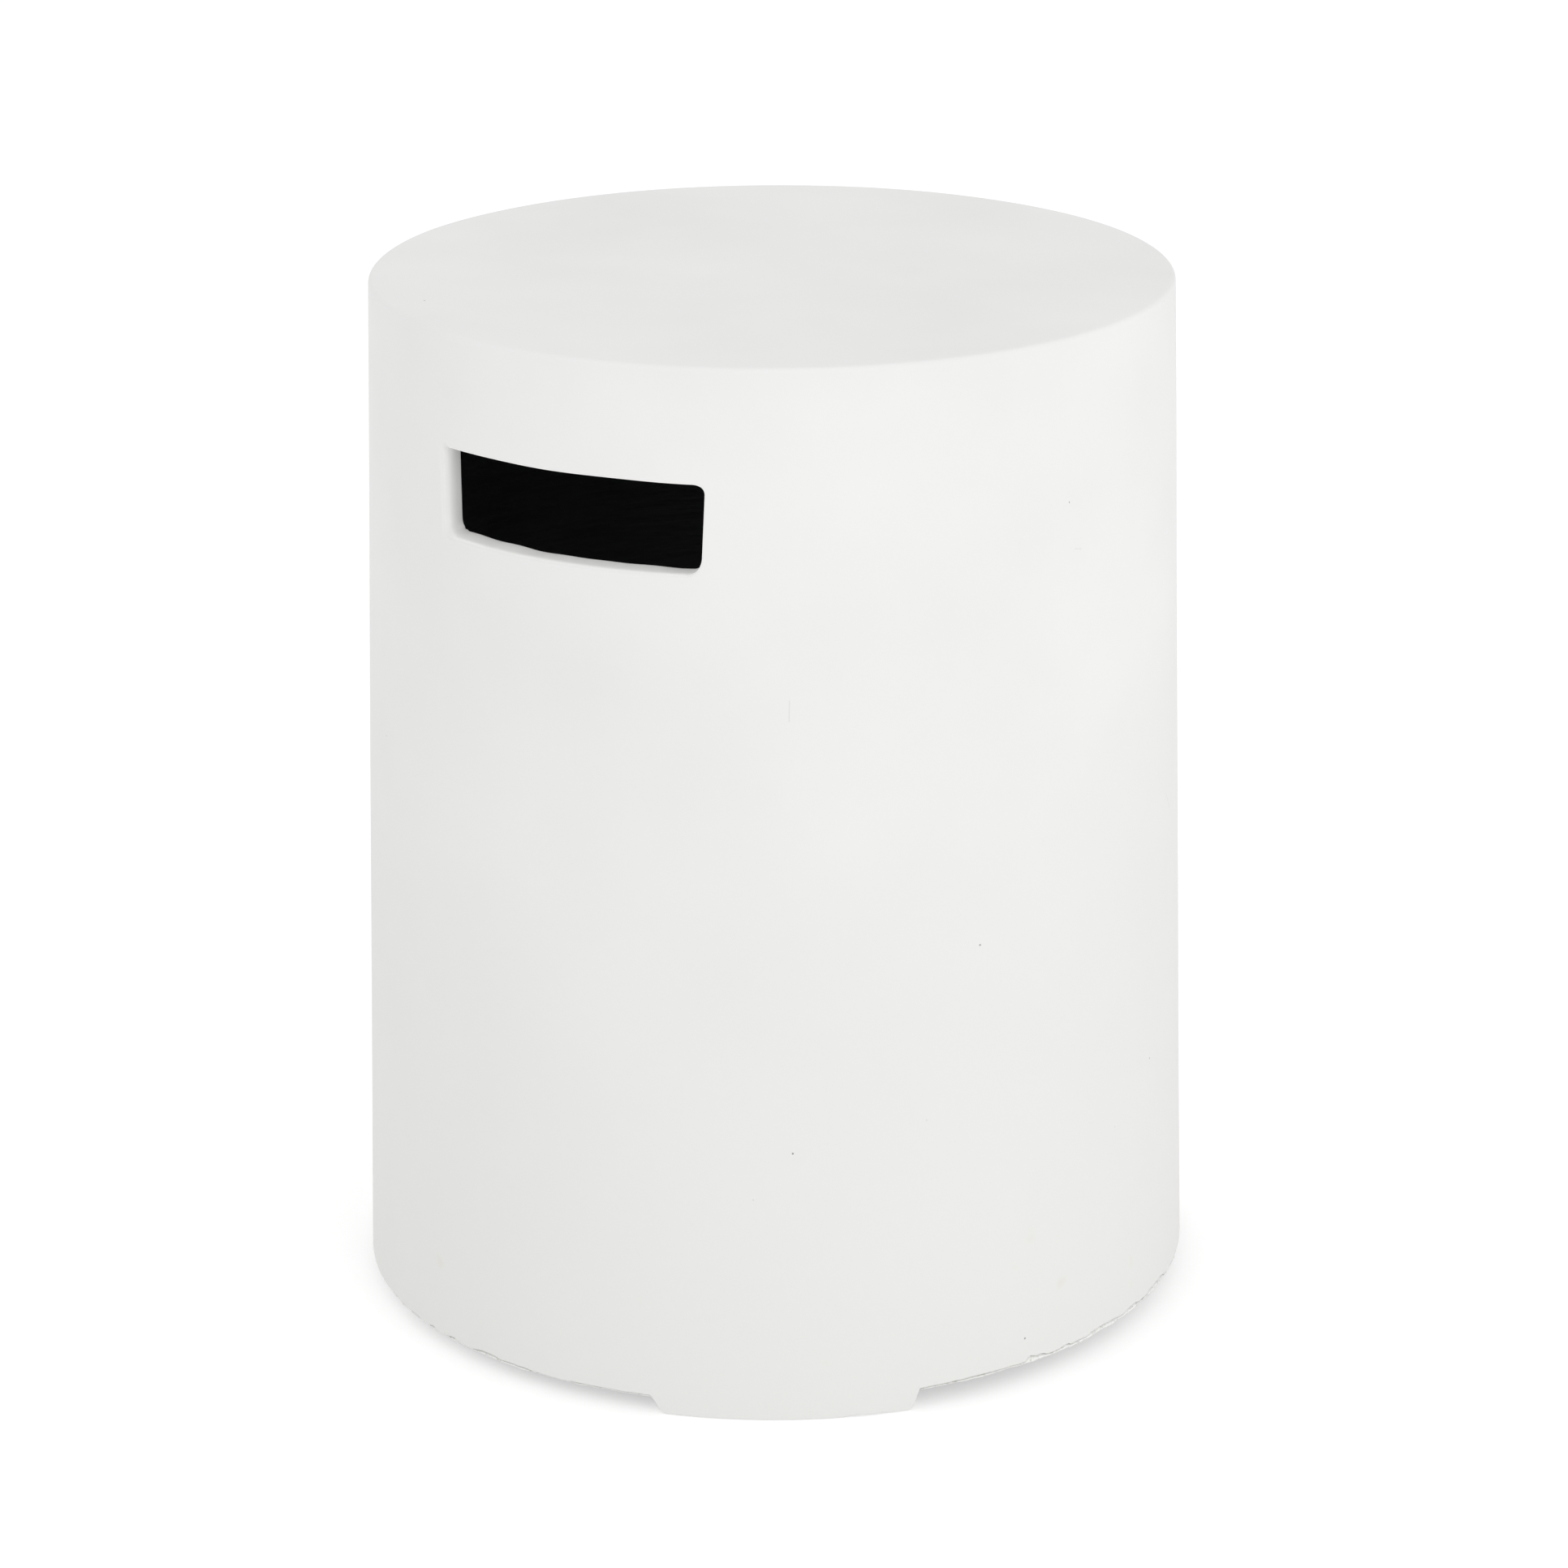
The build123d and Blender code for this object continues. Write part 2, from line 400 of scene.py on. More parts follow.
def skin_mesh(name, angles, rows, poles, slots, sleeves):
    """One closed skin: rows round the drum, poles that close its ends, and slot sleeves.

    rows is (radius, height) for each row, each an array with a value for each column, given
    so that the outer face runs down and the inner face runs up. A skin with no poles is a
    ring, whose last row joins its first. Each sleeve is a stack of rings for one slot; the
    grid's faces inside the slot's frame are left out, with the points that only they use.
    Each vertex is marked with how far into a slot it is, which the white coat's finish reads to
    paint light in the slots.
    """
    grid = np.stack(
        [np.stack([r * np.cos(angles), r * np.sin(angles), z + 0 * angles], -1) for r, z in rows]
    )
    count = len(rows)
    numbers = np.arange(count * COLUMNS).reshape(count, COLUMNS)
    points = [grid.reshape(-1, 3)]
    keep = np.ones((count if poles is None else count - 1, COLUMNS), bool)
    for slot in slots:
        for side in (slot.outer, slot.inner):
            keep[np.ix_(np.unique(side[0])[:-1], slot.columns[:-1])] = False
    looped = numbers if poles is not None else np.concatenate([numbers, numbers[:1]])
    faces = [quads(looped).reshape(len(looped) - 1, COLUMNS, 4)[keep]]
    total = count * COLUMNS
    if poles is not None:
        points.append(np.array([[0, 0, poles[0]], [0, 0, poles[1]]], float))
        first, last = numbers[0], numbers[-1]
        pole = np.full(COLUMNS, total)
        faces.append(np.stack([pole, first, np.roll(first, -1)], 1))
        faces.append(np.stack([last, pole + 1, np.roll(last, -1)], 1))
        total += 2
    cut = []
    for slot, rings in zip(slots, sleeves):
        start, end = numbers[slot.outer], numbers[slot.inner]
        middle = total + np.arange(len(rings) * len(start)).reshape(len(rings), -1)
        points.append(np.concatenate(rings))
        chain = np.concatenate([[start], middle, [end]])
        faces.append(quads(chain)[:, [0, 3, 2, 1]])
        total += middle.size
        cut.append(middle)
    used = np.unique(np.concatenate([corners.ravel() for corners in faces]))
    renumbered = np.searchsorted(used, np.arange(total))
    faces = [face for corners in faces for face in renumbered[corners].tolist()]
    piece = make_mesh(name, np.concatenate(points)[used], faces)
    mark = piece.data.attributes.new("painted_slot_light", "FLOAT", "POINT")
    mark.data.foreach_set("value", painted_light_shares(total, cut)[used])
    return piece


def slot_levels():
    """Heights of the grid's rows across a slot's patch, from its top down."""
    return SLOT_CENTRE + np.linspace(PATCH_HALF_HEIGHT, -PATCH_HALF_HEIGHT, PATCH_LEVELS + 1)


def steps_to_one(count):
    """Shares that rise evenly to 1, without the 0 they rise from."""
    return np.linspace(0.0, 1, count + 1)[1:]


def quarter(count):
    """Angles of a quarter turn, without its start."""
    return steps_to_one(count) * math.pi / 2


def coat_rows(angles):
    """Section of the coat: top, rounded rim, side, lower edge, and back up inside the coat.

    The rim is a quarter circle, a little fuller low down. Below it the side follows the taper
    less the swell. The last stretch is shared out between a level row and the lower edge,
    crowded at the edge.
    """
    rows = []
    flat = TOP_RADIUS - RIM_ROUNDING - 0.2
    for share in (0.12, 0.3, 0.5, 0.68, 0.82, 0.92, 0.975, 1.0):
        dip = TOP_HOLLOW * (1 - share**2) * (1 + 0.5 * np.sin(2 * angles + 1)) + TOP_START
        rows.append((np.full(COLUMNS, flat * share), HEIGHT - dip))
    rim = RIM_ROUNDING - 0.3 + 0.3 * ripple(angles, (2, 14), 31)
    for turn in quarter(7):
        height = HEIGHT - TOP_START - rim * (1 - math.cos(turn))
        edge = side_radius(height) - face_sink(angles, height)
        share = turn / (math.pi / 2)
        rows.append((edge - rim * (1 - math.sin(turn)) * (2 - share) / 2, height))
    below = [509.0, 500.0, 490.0]
    between = np.linspace(SLOT_CENTRE - PATCH_HALF_HEIGHT, LOWEST_LEVEL, 15)[1:]
    levels = np.concatenate([below, slot_levels(), between])
    first_slot_row = len(rows) + len(below)
    for level in levels:
        rows.append((side_radius(level) - face_sink(angles, level), np.full(COLUMNS, level)))
    edge = coat_edge(angles)
    rounding = 0.45 + 0.25 * ripple(angles, (20, 90), 32)
    for share in 1 - (1 - steps_to_one(9)) ** 1.8:
        height = levels[-1] + (edge + rounding - levels[-1]) * share
        rows.append((side_radius(height) - face_sink(angles, height), height))
    radius = side_radius(edge) - face_sink(angles, edge)
    for turn in quarter(4):
        rows.append(
            (radius - rounding * (1 - math.cos(turn)), edge + rounding * (1 - math.sin(turn)))
        )
    rows.append((radius - (rounding + COAT) / 2, edge + 0.1 * ripple(angles, (50, 200), 33)))
    inner_low = edge + 0.2
    rows.append((side_radius(inner_low) - COAT, inner_low))
    rising = np.linspace(LOWEST_LEVEL, SLOT_CENTRE - PATCH_HALF_HEIGHT, 5)[:-1]
    first_inner_row = len(rows) + len(rising)
    for level in [*rising, *slot_levels()[::-1], 500.0, HEIGHT - COAT]:
        rows.append((side_radius(level) - COAT + 0 * angles, np.full(COLUMNS, level)))
    for share in (0.8, 0.4, 0.12):
        rows.append((np.full(COLUMNS, (TOP_RADIUS - COAT) * share), HEIGHT - COAT + 0 * angles))
    outer = first_slot_row + np.arange(PATCH_LEVELS + 1)
    inner = first_inner_row + np.arange(PATCH_LEVELS + 1)[::-1]
    return rows, outer, inner


def coat_sleeve(slot):
    """Rings of the coat through a slot.

    Rings close in on the wall, roll over an edge that is rounded as an ellipse, deepest on
    the left and on the sill, run square through the wall, turn the inner edge, and come back
    behind the lining, where the mortar grips.
    """
    facing = np.arctan2(slot.away[:, 1], slot.away[:, 0])
    wander = 0.30 * ripple(facing + slot.outline[:, 0] / 40, (1, 5), 41)
    inner_wander = 0.45 * ripple(slot.outline[:, 0] / 24 + facing * 2, (1, 7), 42)
    left_share = np.clip(-slot.away[:, 0], 0, 1)
    sill_share = np.clip(-slot.away[:, 1], 0, 1)
    edge = 1.4 + 2.0 * left_share + 0.25 * ripple(facing, (1, 6), 43)
    deep = edge * (1 + 1.4 * left_share + 1.2 * sill_share)
    rings = []
    for share in steps_to_one(CLOSING_RINGS) ** 0.8:
        rings.append(slot.wall_ring(share, (edge + wander)[:, None], 0.0, face_sink))
    for turn in quarter(5):
        margin = edge * (1 - math.sin(turn)) + wander
        rings.append(slot.hole_ring(margin, 0.0, deep * (1 - math.cos(turn)), face_sink))
    lip = 0.5
    front = slot.hole_ring(wander, 0.0, deep, face_sink)
    back = slot.hole_ring(inner_wander, WALL, 0.0, flush)
    towards = slot.place(0.0, 1.0, 0.0)
    for share in steps_to_one(4)[:-1]:
        rings.append(front * (1 - share) + (back + lip * towards) * share)
    rings.append(back + lip * towards)
    rings.append(slot.hole_ring(inner_wander + 0.15, WALL, -0.1, flush))
    rings.append(slot.hole_ring(inner_wander + lip, WALL, 0.25, flush))
    rings.append(slot.hole_ring(np.full(len(edge), LINING), WALL, 0.25, flush))
    rings.append(slot.hole_ring(np.full(len(edge), LINING), COAT, 0.0, flush))
    for share in (0.6, 0.25):
        rings.append(slot.wall_ring(share, LINING, COAT, flush))
    return rings


def mortar_rows(angles):
    """Section of the mortar wall: outer face behind the coat, lip, underside, inner face.

    Below the coat's edge the mortar swells out to a little behind the coat's face, so that a
    lip shows.
    """
    rows = []
    above = [MORTAR_TOP, 490.0]
    levels = np.concatenate([above, slot_levels(), np.linspace(400, LOWEST_LEVEL, 8)])
    for level in levels:
        rows.append((side_radius(level) - COAT - GAP + 0 * angles, np.full(COLUMNS, level)))
    coat, edge = coat_edge(angles), mortar_edge(angles)
    rows.append((side_radius(coat) - COAT - GAP, coat + 1.2))
    out = 0.6 + 0.35 * ripple(angles, (12, 70), 51) + 0.2 * ripple(angles, (90, 220), 52)
    rounding = 0.5
    showing = np.clip((coat - edge) / 1.0, 0, 1)
    lip = COAT + GAP - (COAT - out) * showing
    shy = np.minimum(0.25, (coat - edge) / 3)
    rows.append((side_radius(coat) - COAT - GAP, coat - shy))
    drop = np.maximum(coat - shy - edge, 0.02)
    soft = np.minimum(rounding, drop * 0.8)
    rows.append((side_radius(coat) - lip, coat - shy - 0.5 * (drop - soft)))
    rows.append((side_radius(edge) - lip, edge + soft))
    for turn in quarter(3):
        radius = side_radius(edge) - lip - soft * (1 - math.cos(turn))
        rows.append((radius, edge + soft * (1 - math.sin(turn))))
    for share in (0.35, 0.65):
        grit = 0.12 + 0.12 * ripple(angles, (60, 220), 53 + int(share * 100))
        depth = lip + soft + (MORTAR_DEPTH - lip - soft) * share
        rows.append((side_radius(edge) - depth, edge + grit))
    inner_edge = MORTAR_DEPTH + 0.4 * ripple(angles, (10, 60), 54)
    rows.append((side_radius(edge) - inner_edge + 0.9, edge + 0.15))
    rows.append((side_radius(edge) - inner_edge, edge + 1.1))
    for level in [SEALER_LOW + 6, *np.linspace(60, 380, 5), *slot_levels()[::-1], MORTAR_TOP]:
        rows.append((side_radius(level) - MORTAR_DEPTH + 0 * angles, np.full(COLUMNS, level)))
    # Inside, the patch's top is the last row but one.
    outer = len(above) + np.arange(PATCH_LEVELS + 1)
    inner = len(rows) - 2 - np.arange(PATCH_LEVELS + 1)
    return rows, outer, inner


def plain_sleeve(slot, outer_depth, inner_depth):
    """Rings straight through a skin, one slot lining away from the slot's hole."""
    margin = np.full(len(slot.outline), LINING)
    rings = [slot.wall_ring(share, LINING, outer_depth, flush) for share in (0.5, 1.0)]
    rings.append(slot.hole_ring(margin, inner_depth, 0.0, flush))
    rings.append(slot.wall_ring(0.5, LINING, inner_depth, flush))
    return rings


def sealer_rows(angles):
    """Section of the sealer: up against the mortar, ragged lower edge, brushed inner face."""
    rows = []
    inner_top = MORTAR_TOP - (WALL - MORTAR_DEPTH)
    wide = side_radius(MORTAR_TOP) - MORTAR_DEPTH
    for share in (0.15, 0.5, 0.85):
        rows.append((np.full(COLUMNS, wide * share), MORTAR_TOP + 0 * angles))
    above = [MORTAR_TOP, 490.0]
    first = len(rows) + len(above)
    for level in [*above, *slot_levels(), *np.linspace(400, 60, 5)]:
        rows.append((side_radius(level) - MORTAR_DEPTH + 0 * angles, np.full(COLUMNS, level)))
    ragged = SEALER_LOW + 2.5 + 2.0 * ripple(angles, (4, 40), 61)
    ragged = ragged + 0.5 * ripple(angles, (60, 200), 62)
    rows.append((side_radius(ragged) - MORTAR_DEPTH, ragged + 0.1))
    rows.append((side_radius(ragged) - MORTAR_DEPTH - 0.35, ragged))
    rows.append((side_radius(ragged) - MORTAR_DEPTH - 0.8, ragged + 0.7))
    beyond = [486.0, 494.0]
    for level in [32.0, 50.0, *np.linspace(80, 390, 12), *slot_levels()[::-1], *beyond]:
        brushed = 0.12 * np.sin(level * 0.9 + 3 * ripple(angles, (2, 20), 63))
        brushed = brushed + 0.25 * ripple(angles + level * 0.002, (6, 44), 64)
        near = abs(level - SLOT_CENTRE) < PATCH_HALF_HEIGHT + 1
        depth = WALL + (0.0 if near else 1.0) * brushed
        rows.append((side_radius(level) - depth, np.full(COLUMNS, level)))
    last = len(rows) - 1 - len(beyond)
    cove = 6.0
    corner = side_radius(inner_top) - WALL
    for turn in quarter(4):
        height = inner_top - cove + cove * math.sin(turn)
        rows.append((corner - cove * (1 - math.cos(turn)) + 0 * angles, height + 0 * angles))
    for share in (0.8, 0.55, 0.3, 0.12):
        sag = 0.3 * ripple(angles, (2, 12), 65) * share
        rows.append(((corner - cove) * share + 0 * angles, inner_top - 0.2 + 0.4 * sag))
    outer = first + np.arange(PATCH_LEVELS + 1)
    inner = last - np.arange(PATCH_LEVELS + 1)
    return rows, outer, inner


# ---------------------------------------------------------------- materials


# A colour mix's inputs, by number: how much, the colour below and the one over it; its output.
AMOUNT, BELOW, OVER = 0, 6, 7
MIXED = 2


def srgb(code):
    """Linear colour of an sRGB hex code."""
    values = [int(code[k : k + 2], 16) / 255 for k in (1, 3, 5)]
    return [v / 12.92 if v <= 0.04045 else ((v + 0.055) / 1.055) ** 2.4 for v in values] + [1.0]


def feed(tree, node, inputs):
    """Fills a node's inputs, by name or number: each from an output socket or with a value."""
    for key, source in inputs.items():
        if isinstance(source, bpy.types.NodeSocket):
            tree.links.new(source, node.inputs[key])
        else:
            node.inputs[key].default_value = source


def add(tree, kind, inputs=None, stops=(), **settings):
    """Adds a node, sets its properties, feeds its inputs and places its colour stops."""
    node = tree.nodes.new(kind)
    for key, value in settings.items():
        setattr(node, key, value)
    feed(tree, node, inputs or {})
    for number, (position, colour) in enumerate(stops):
        band = node.color_ramp.elements
        stop = band[number] if number < len(band) else band.new(position)
        stop.position, stop.color = position, colour
    return node.outputs


def blank(name):
    """An empty node material: its tree, its shader and object coordinates."""
    material = bpy.data.materials.new(name)
    material.use_nodes = True
    tree = material.node_tree
    tree.nodes.clear()
    shader = add(tree, "ShaderNodeBsdfPrincipled")[0]
    add(tree, "ShaderNodeOutputMaterial", {0: shader})
    place = add(tree, "ShaderNodeTexCoord")["Object"]
    return material, tree, shader.node, place


def per_mm(size):
    """Texture scale for a feature of a size in millimetres, on coordinates in metres."""
    return 1 / (size * MM)


def grey(value):
    """An opaque linear grey."""
    return [value, value, value, 1.0]


def white_cast_face():
    """White-cement face cast against a smooth mould and left matt.

    To the eye: near-white, hardly warm, with cloudy patches a hand wide, a fine orange-peel
    grain, rare pinholes where air sat against the mould, painted darker as painted shade, a few
    short scuffs and hairlines, and faint splash stains near the floor. Painted shade darkens it
    towards the floor, and painted light makes it a brighter white inside the slots.
    """
    material, tree, shader, place = blank("white_cast_face")
    cloud = add(tree, "ShaderNodeTexNoise", {"Vector": place, "Scale": per_mm(140), "Detail": 3.0})
    base = add(
        tree,
        "ShaderNodeValToRGB",
        {0: cloud[0]},
        stops=[(0.35, srgb("#D8D8D7")), (0.65, srgb("#DCDCDB"))],
    )

    # Painted shade: about a twentieth darker at the floor, fading out 400 mm up.
    height = add(tree, "ShaderNodeSeparateXYZ", {0: place})
    floor_shade = add(
        tree,
        "ShaderNodeMapRange",
        {0: height["Z"], "From Min": 0.0, "From Max": 0.4, "To Min": 1.0, "To Max": 0.0},
    )
    low_shaded = add(
        tree,
        "ShaderNodeMix",
        {AMOUNT: floor_shade[0], BELOW: base[0], OVER: srgb("#D5D5D3")},
        data_type="RGBA",
    )

    # Stains: sparse soft smudges, only in the lowest part of the side.
    low = add(
        tree,
        "ShaderNodeMapRange",
        {0: height["Z"], "From Min": 0.11, "From Max": 0.01},
    )
    smudge = add(tree, "ShaderNodeTexNoise", {"Vector": place, "Scale": per_mm(26), "Detail": 2.0})
    spots = add(
        tree,
        "ShaderNodeValToRGB",
        {0: smudge[0]},
        stops=[(0.69, grey(0.0)), (0.80, grey(0.6))],
    )
    stain = add(tree, "ShaderNodeMath", {0: low[0], 1: spots[0]}, operation="MULTIPLY")
    stained = add(
        tree,
        "ShaderNodeMix",
        {AMOUNT: stain[0], BELOW: low_shaded[MIXED], OVER: srgb("#C9C2B0")},
        data_type="RGBA",
    )

    # Painted light: inside the slots the coat is painted a brighter white, standing in for light
    # on the slot's faces.
    slot_light_share = add(tree, "ShaderNodeAttribute", attribute_name="painted_slot_light")
    slot_lightened = add(
        tree,
        "ShaderNodeMix",
        {AMOUNT: slot_light_share["Fac"], BELOW: stained[MIXED], OVER: srgb("#F6F6F4")},
        data_type="RGBA",
    )

    # Pinholes: balls up to 1 mm across in one in ten of 16 mm cells, where the face cuts them.
    cells = add(tree, "ShaderNodeTexVoronoi", {"Vector": place, "Scale": per_mm(16)})
    chosen = add(tree, "ShaderNodeSeparateColor", {0: cells["Color"]})
    rare = add(tree, "ShaderNodeMath", {0: chosen[0], 1: 0.9}, operation="GREATER_THAN")
    pit = add(
        tree,
        "ShaderNodeValToRGB",
        {0: cells["Distance"]},
        stops=[(0.02, grey(1.0)), (0.032, grey(0.0))],
    )
    pinhole = add(tree, "ShaderNodeMath", {0: rare[0], 1: pit[0]}, operation="MULTIPLY")
    # Painted shade: the pits are also painted darker, besides their dent in the bump below.
    pit_shaded = add(
        tree,
        "ShaderNodeMix",
        {AMOUNT: pinhole[0], BELOW: slot_lightened[MIXED], OVER: srgb("#999792")},
        data_type="RGBA",
    )

    # Hairlines: the edges of hand-wide cells, 0.4 mm wide, kept only in a few small patches.
    crazed = add(
        tree,
        "ShaderNodeTexVoronoi",
        {"Vector": place, "Scale": per_mm(85)},
        feature="DISTANCE_TO_EDGE",
    )
    line = add(
        tree,
        "ShaderNodeValToRGB",
        {0: crazed[0]},
        stops=[(0.001, grey(0.3)), (0.004, grey(0.0))],
    )
    where = add(tree, "ShaderNodeTexNoise", {"Vector": place, "Scale": per_mm(30), "Detail": 1.0})
    few = add(tree, "ShaderNodeMath", {0: where[0], 1: 0.76}, operation="GREATER_THAN")
    hairline = add(tree, "ShaderNodeMath", {0: line[0], 1: few[0]}, operation="MULTIPLY")
    cracked = add(
        tree,
        "ShaderNodeMix",
        {AMOUNT: hairline[0], BELOW: pit_shaded[MIXED], OVER: srgb("#A5A39D")},
        data_type="RGBA",
    )

    grain = add(tree, "ShaderNodeTexNoise", {"Vector": place, "Scale": per_mm(1.6), "Detail": 3.0})
    trowel = add(tree, "ShaderNodeTexNoise", {"Vector": place, "Scale": per_mm(38), "Detail": 2.0})
    rough = add(
        tree,
        "ShaderNodeValToRGB",
        {0: trowel[0]},
        stops=[(0.3, grey(0.62)), (0.7, grey(0.72))],
    )
    wavy = add(
        tree,
        "ShaderNodeBump",
        {"Height": trowel[0], "Strength": 0.1, "Distance": 1.2 * MM},
    )
    fine = add(
        tree,
        "ShaderNodeBump",
        {"Height": grain[0], "Normal": wavy[0], "Strength": 0.25, "Distance": 0.12 * MM},
    )
    pits = add(
        tree,
        "ShaderNodeBump",
        {"Height": pinhole[0], "Normal": fine[0], "Strength": 0.8, "Distance": 0.8 * MM},
        invert=True,
    )
    look = {"Base Color": cracked[MIXED], "Roughness": rough[0], "Normal": pits[0]}
    feed(tree, shader, {**look, "Specular IOR Level": 0.35})
    return material


def fibre_mortar():
    """White-cement mortar full of chopped glass fibre, sprayed and rolled.

    To the eye: off-white and sandy, with broken grains and short pale fibre ends.
    """
    material, tree, shader, place = blank("fibre_mortar")
    sand = add(tree, "ShaderNodeTexNoise", {"Vector": place, "Scale": per_mm(2.2), "Detail": 4.0})
    patch = add(tree, "ShaderNodeTexNoise", {"Vector": place, "Scale": per_mm(25), "Detail": 2.0})
    tone = add(
        tree,
        "ShaderNodeValToRGB",
        {0: patch[0]},
        stops=[(0.3, srgb("#D8D8D5")), (0.7, srgb("#E3E3E1"))],
    )
    speck = add(
        tree,
        "ShaderNodeValToRGB",
        {0: sand[0]},
        stops=[(0.32, srgb("#C8C8C4")), (0.5, srgb("#FFFFFF"))],
    )
    mixed = add(
        tree,
        "ShaderNodeMix",
        {AMOUNT: 0.7, BELOW: tone[0], OVER: speck[0]},
        data_type="RGBA",
        blend_type="MULTIPLY",
    )
    fibre = add(
        tree,
        "ShaderNodeTexWave",
        {"Vector": place, "Scale": per_mm(9), "Distortion": 9.0},
    )
    lumps = add(
        tree,
        "ShaderNodeBump",
        {"Height": sand[0], "Strength": 0.8, "Distance": 0.8 * MM},
    )
    strands = add(
        tree,
        "ShaderNodeBump",
        {"Height": fibre[1], "Normal": lumps[0], "Strength": 0.25, "Distance": 0.4 * MM},
    )
    look = {"Base Color": mixed[MIXED], "Normal": strands[0]}
    feed(tree, shader, {**look, "Roughness": 0.9, "Specular IOR Level": 0.25})
    return material


def dark_sealer():
    """Black bitumen-rubber waterproofing, brushed on by hand.

    To the eye: almost black, half dull, with level brush marks and thicker and thinner places.
    Its near-black colour is painted shade, standing in for the dark inside of the drum.
    """
    material, tree, shader, place = blank("dark_sealer")
    turned = add(tree, "ShaderNodeMapping", {"Vector": place, "Scale": (0.12, 0.12, 1.0)})
    brush = add(
        tree,
        "ShaderNodeTexNoise",
        {"Vector": turned[0], "Scale": per_mm(3), "Detail": 3.0},
    )
    patch = add(tree, "ShaderNodeTexNoise", {"Vector": place, "Scale": per_mm(60), "Detail": 2.0})
    tone = add(
        # Painted shade: near black, darkening the inside of the drum.
        tree,
        "ShaderNodeValToRGB",
        {0: patch[0]},
        stops=[(0.35, srgb("#161719")), (0.7, srgb("#222325"))],
    )
    dull = add(
        tree,
        "ShaderNodeValToRGB",
        {0: brush[0]},
        stops=[(0.3, grey(0.5)), (0.7, grey(0.75))],
    )
    marks = add(
        tree,
        "ShaderNodeBump",
        {"Height": brush[0], "Strength": 0.6, "Distance": 0.6 * MM},
    )
    feed(tree, shader, {"Base Color": tone[0], "Roughness": dull[0], "Normal": marks[0]})
    return material


def glass_scrim():
    """Alkali-resistant glass mesh, woven in 10 mm squares.

    To the eye: pale strands with a faint sheen, crossing squarely, and mortar between them.
    """
    material, tree, shader, place = blank("glass_scrim")
    across, up = [
        add(
            tree,
            "ShaderNodeTexWave",
            {"Vector": place, "Scale": per_mm(31)},
            bands_direction=direction,
        )
        for direction in ("X", "Z")
    ]
    most = add(tree, "ShaderNodeMath", {0: up[1], 1: across[1]}, operation="MAXIMUM")
    tone = add(
        tree,
        "ShaderNodeValToRGB",
        {0: most[0]},
        stops=[(0.62, srgb("#C9C7C0")), (0.8, srgb("#F0F1EC"))],
    )
    raised = add(
        tree,
        "ShaderNodeBump",
        {"Height": most[0], "Strength": 0.7, "Distance": 0.6 * MM},
    )
    feed(tree, shader, {"Base Color": tone[0], "Normal": raised[0], "Roughness": 0.55})
    return material


def galvanised_rod():
    """Hot-dip galvanised reinforcing rod.

    To the eye: dull silver grey with crystal patches a few millimetres wide.
    """
    material, tree, shader, place = blank("galvanised_rod")
    crystal = add(tree, "ShaderNodeTexVoronoi", {"Vector": place, "Scale": per_mm(6)})
    tone = add(
        tree,
        "ShaderNodeValToRGB",
        {0: crystal["Color"]},
        stops=[(0.1, srgb("#9EA2A6")), (0.9, srgb("#BFC3C6"))],
    )
    dull = add(
        tree,
        "ShaderNodeValToRGB",
        {0: crystal["Color"]},
        stops=[(0.1, grey(0.38)), (0.9, grey(0.55))],
    )
    drawn = add(tree, "ShaderNodeTexNoise", {"Vector": place, "Scale": per_mm(1.2), "Detail": 2.0})
    skin = add(
        tree,
        "ShaderNodeBump",
        {"Height": drawn[0], "Strength": 0.3, "Distance": 0.2 * MM},
    )
    look = {"Base Color": tone[0], "Roughness": dull[0], "Normal": skin[0]}
    feed(tree, shader, {**look, "Metallic": 1.0})
    return material


def opal_floor():
    """White opal acrylic table, matt, lit softly from below so that shadows stay faint."""
    material, tree, shader, place = blank("opal_floor")
    soft = add(tree, "ShaderNodeTexNoise", {"Vector": place, "Scale": 1.5, "Detail": 2.0})
    tone = add(
        tree,
        "ShaderNodeValToRGB",
        {0: soft[0]},
        stops=[(0.3, srgb("#C3C3C3")), (0.7, srgb("#C6C6C6"))],
    )
    glow = {"Emission Color": srgb("#FFFFFF"), "Emission Strength": 0.46}
    feed(tree, shader, {"Base Color": tone[0], "Roughness": 0.9, **glow})
    return material


# ---------------------------------------------------------------- the casting


def cast_skin(name, angles, section, sleeve, poles, material, nodes):
    """Makes one skin, gives it its finish and lets it stand for its CAD nodes."""
    rows, outer, inner = section(angles)
    slots = [Slot(angles, face, outer, inner) for face in SLOT_FACES]
    piece = skin_mesh(name, angles, rows, poles, slots, [sleeve(slot) for slot in slots])
    piece.data.materials.append(material)
    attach(piece, "root")
    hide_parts(*nodes)


def build_casting():
    """The three skins and the finishes of the pieces inside them."""
    angles = column_angles()
    mortar = fibre_mortar()
    cast_skin(
        "cast_face_coat",
        angles,
        coat_rows,
        coat_sleeve,
        (HEIGHT - TOP_CENTRE, HEIGHT - COAT),
        white_cast_face(),
        ["face_coat"],
    )
    cast_skin(
        "fibre_mortar_wall",
        angles,
        mortar_rows,
        lambda slot: plain_sleeve(slot, COAT + GAP, MORTAR_DEPTH),
        None,
        mortar,
        ["backing_wall"],
    )
    cast_skin(
        "shade_black_inner_sealer",
        angles,
        sealer_rows,
        lambda slot: plain_sleeve(slot, MORTAR_DEPTH, WALL),
        (MORTAR_TOP, MORTAR_TOP - 1.2),
        dark_sealer(),
        ["inner_sealer"],
    )
    scrim, rod = glass_scrim(), galvanised_rod()
    finishes = {
        "backing_top": mortar,
        "scrim_wall": scrim,
        "scrim_top": scrim,
        "base_hoop": rod,
        "lintel_bar_front": rod,
        "lintel_bar_back": rod,
    }
    for node, finish in finishes.items():
        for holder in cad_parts[node].material_slots:
            holder.link = "OBJECT"
            holder.material = finish


# ---------------------------------------------------------------- studio


